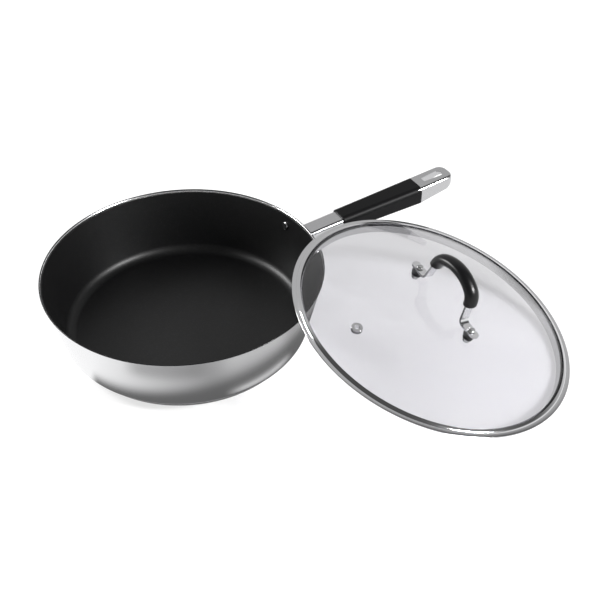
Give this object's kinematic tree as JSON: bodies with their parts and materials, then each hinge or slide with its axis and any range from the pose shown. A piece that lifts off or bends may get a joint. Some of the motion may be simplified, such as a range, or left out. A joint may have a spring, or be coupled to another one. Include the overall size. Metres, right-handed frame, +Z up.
{
  "type": "saute pan with lid",
  "caption": "Deep saute pan with a flared steel wall, dark inside, a long riveted handle with a hanging slot, and a domed glass lid leaning on its rim.",
  "frame": {"origin": "middle of the base's underside, on the surface that the pan stands on", "axes": "+Z up through the pan's mouth, +X along the long handle, away from the pan; the lid leans on the rim on the -Y side of the handle"},
  "size_m": [0.4758, 0.4488, 0.1205],
  "materials": {
    "steel": "satin polished stainless steel",
    "rivet_steel": "bright polished stainless steel",
    "coating": "black non-stick coating, satin, finely speckled",
    "core": "plain aluminium disc, hidden",
    "grip_rubber": "soft black rubber, satin",
    "seal_rubber": "dark rubber",
    "lid_glass": "clear tempered glass"
  },
  "bodies": {
    "pan": {"pan_body": "steel", "nonstick_coating": "coating", "base_core": "core", "base_cover": "steel", "handle_bracket": "steel", "handle_rivets": "rivet_steel", "handle_channel": "steel", "handle_grip": "grip_rubber"},
    "lid": {"lid_glass": "lid_glass", "rim_seal": "seal_rubber", "lid_rim": "steel", "vent_eyelet": "rivet_steel", "lid_handle_strap": "rivet_steel", "lid_handle_sleeve": "grip_rubber", "lid_handle_screws": "rivet_steel", "foot_washers": "seal_rubber", "glass_gaskets": "seal_rubber", "screw_nuts": "rivet_steel"}
  },
  "joints": [
    {"name": "lid_lift", "type": "slide", "parent": "pan", "child": "lid", "axis": [0, 0, 1], "range_m": [0, 0.15]}
  ]
}
